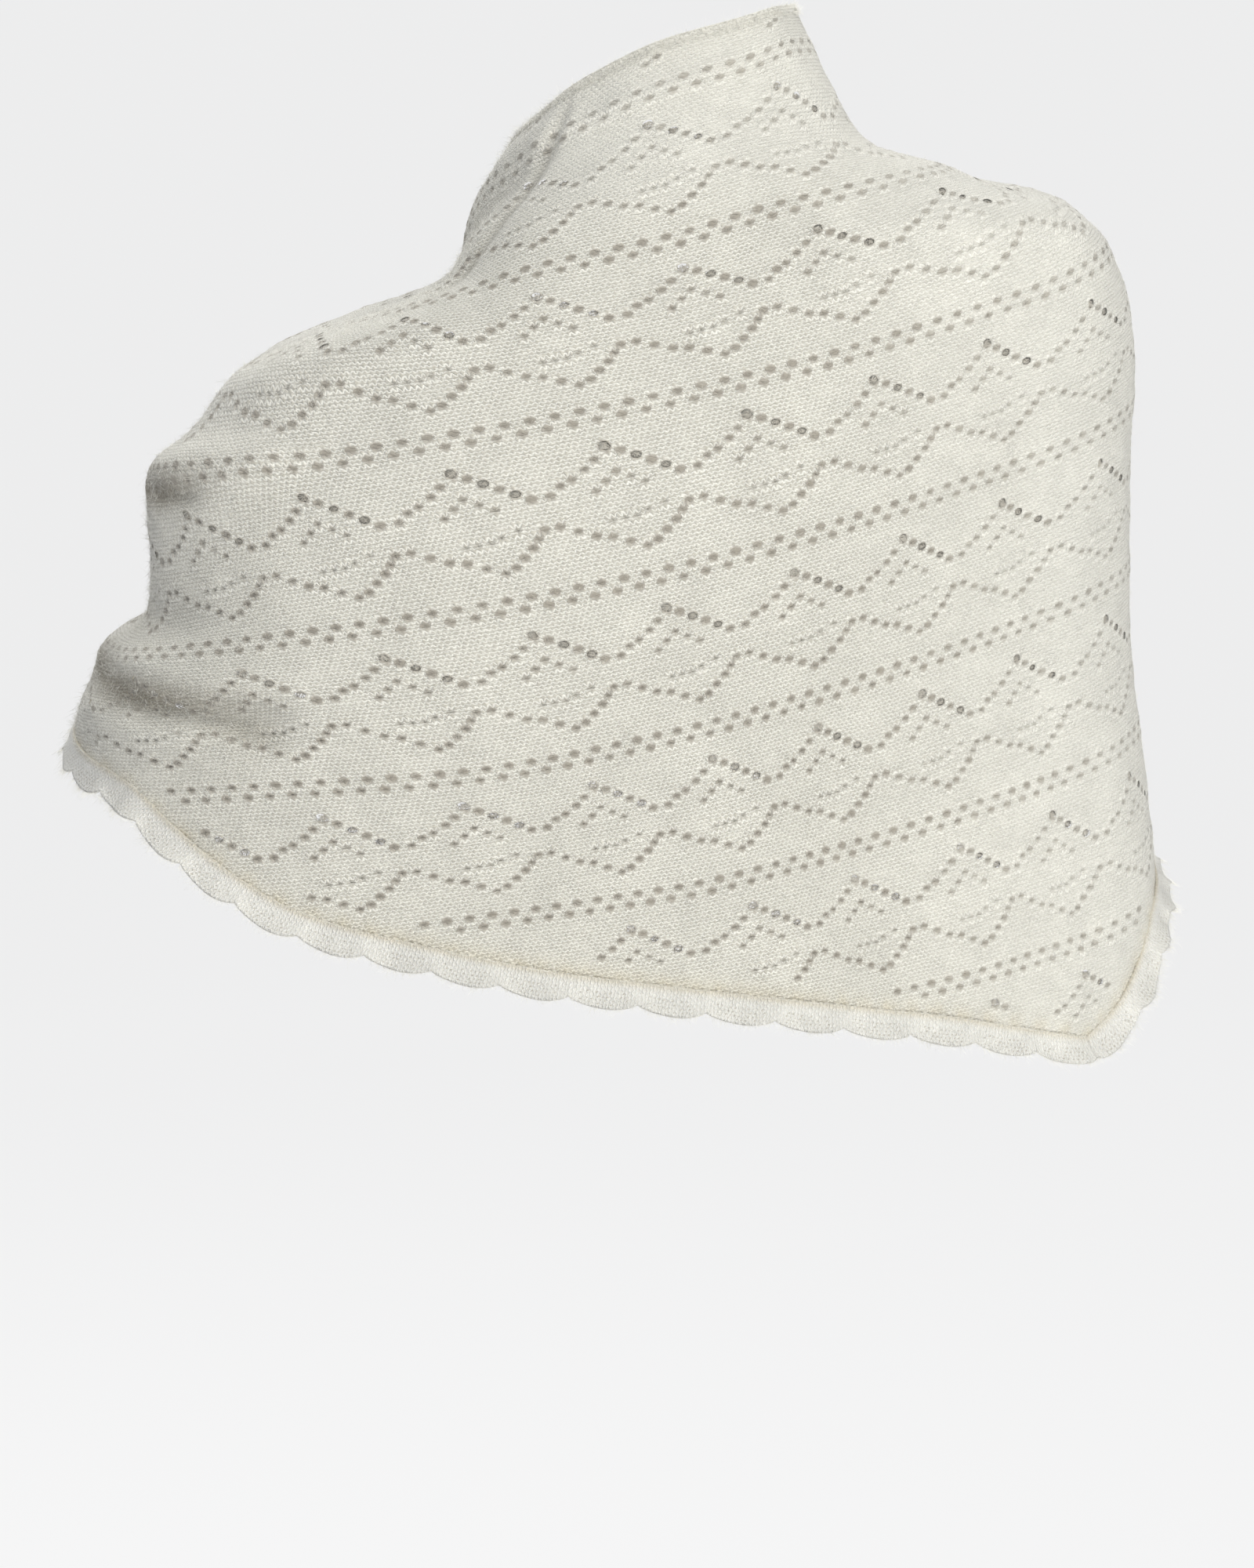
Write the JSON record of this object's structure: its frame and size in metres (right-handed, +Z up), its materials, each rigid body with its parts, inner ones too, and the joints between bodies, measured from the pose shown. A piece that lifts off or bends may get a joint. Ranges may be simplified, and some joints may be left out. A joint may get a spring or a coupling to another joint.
{
  "type": "lace shawl, knitted, worn round the shoulders",
  "caption": "Ivory knitted lace shawl with a scalloped edging, worn round the neck and shoulders and crossed on the chest.",
  "frame": {"origin": "between the shoulders at the base of the neck, where the wearer holds the shawl up", "axes": "+Z up, +Y out of the wearer's back, +X to the wearer's left; the crossed fronts face -Y"},
  "size_m": [0.5349, 0.3234, 0.476],
  "materials": {
    "wool": "matt",
    "edging_wool": "matt"
  },
  "bodies": {
    "root": {"collar": "wool", "back_panel": "wool", "left_wing": "wool", "right_wing": "wool", "left_edging": "edging_wool", "right_edging": "edging_wool"}
  },
  "joints": []
}
